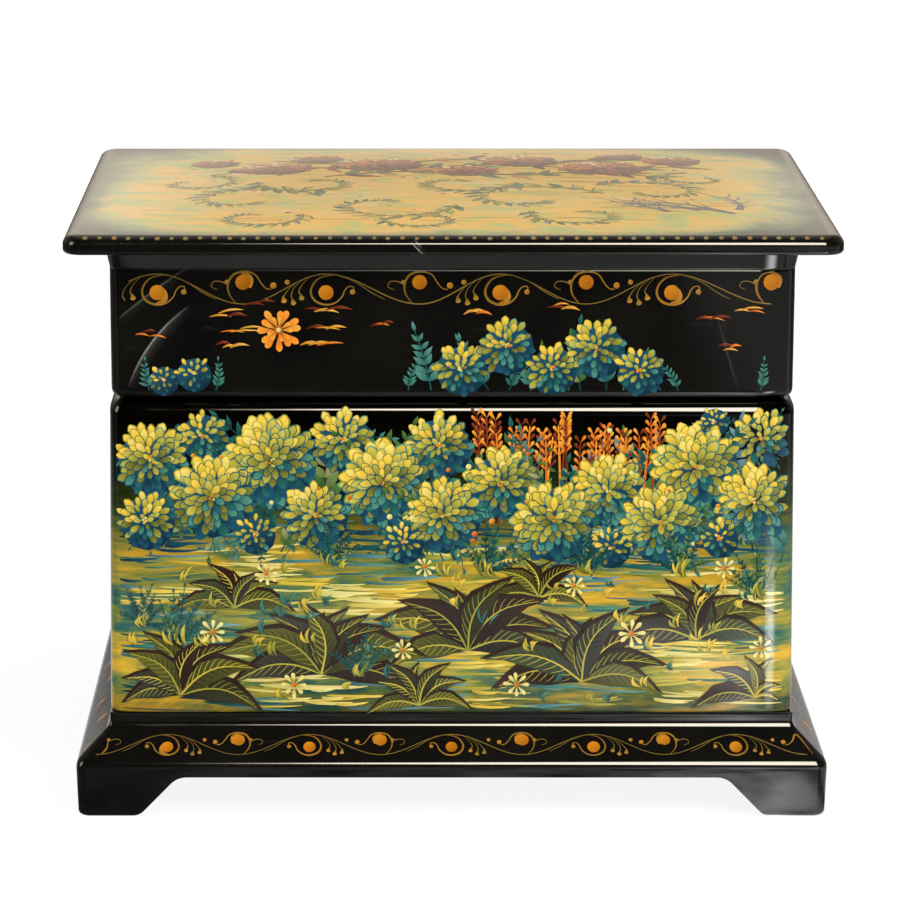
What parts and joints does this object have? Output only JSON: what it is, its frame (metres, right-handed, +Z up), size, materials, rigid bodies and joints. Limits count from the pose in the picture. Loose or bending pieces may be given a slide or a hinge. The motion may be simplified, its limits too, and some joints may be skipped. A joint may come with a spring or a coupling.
{
  "type": "lacquer box",
  "caption": "Rectangular lacquered papier-mâché box: an overhanging lid hinged at the back, on a moulded plinth with bracket feet.",
  "frame": {"origin": "middle of the footprint, on the surface the feet stand on", "axes": "+X to the right seen from the front, +Y to the back where the hinges are, +Z up"},
  "size_m": [0.14, 0.105, 0.1101],
  "materials": {
    "painted_lacquer": "black lacquer with painted panels under clear gloss varnish",
    "black_lacquer": "polished black lacquer with fine gold scrollwork",
    "red_lacquer": "cinnabar red lacquer",
    "gold_paint": "brushed gold ornament under clear varnish",
    "brass": "drawn brass, lightly aged"
  },
  "bodies": {
    "base": {"body_walls": "painted_lacquer", "body_floor": "red_lacquer", "inner_sleeve": "red_lacquer", "plinth_front": "black_lacquer", "plinth_back": "black_lacquer", "plinth_left": "black_lacquer", "plinth_right": "black_lacquer", "hinge_left_pin": "brass", "hinge_left_body_leaf": "brass", "hinge_left_body_nail_1": "brass", "hinge_left_body_nail_2": "brass", "hinge_right_pin": "brass", "hinge_right_body_leaf": "brass", "hinge_right_body_nail_1": "brass", "hinge_right_body_nail_2": "brass"},
    "lid": {"lid_walls": "painted_lacquer", "lid_plate": "painted_lacquer", "hinge_left_lid_leaf": "brass", "hinge_left_lid_nail_1": "brass", "hinge_left_lid_nail_2": "brass", "hinge_right_lid_leaf": "brass", "hinge_right_lid_nail_1": "brass", "hinge_right_lid_nail_2": "brass"}
  },
  "joints": [
    {"name": "lid_hinge", "type": "hinge", "parent": "base", "child": "lid", "pos_m": [0, 0.04335, 0.0775], "axis": [-1, 0, 0], "range_deg": [0, 100]}
  ]
}
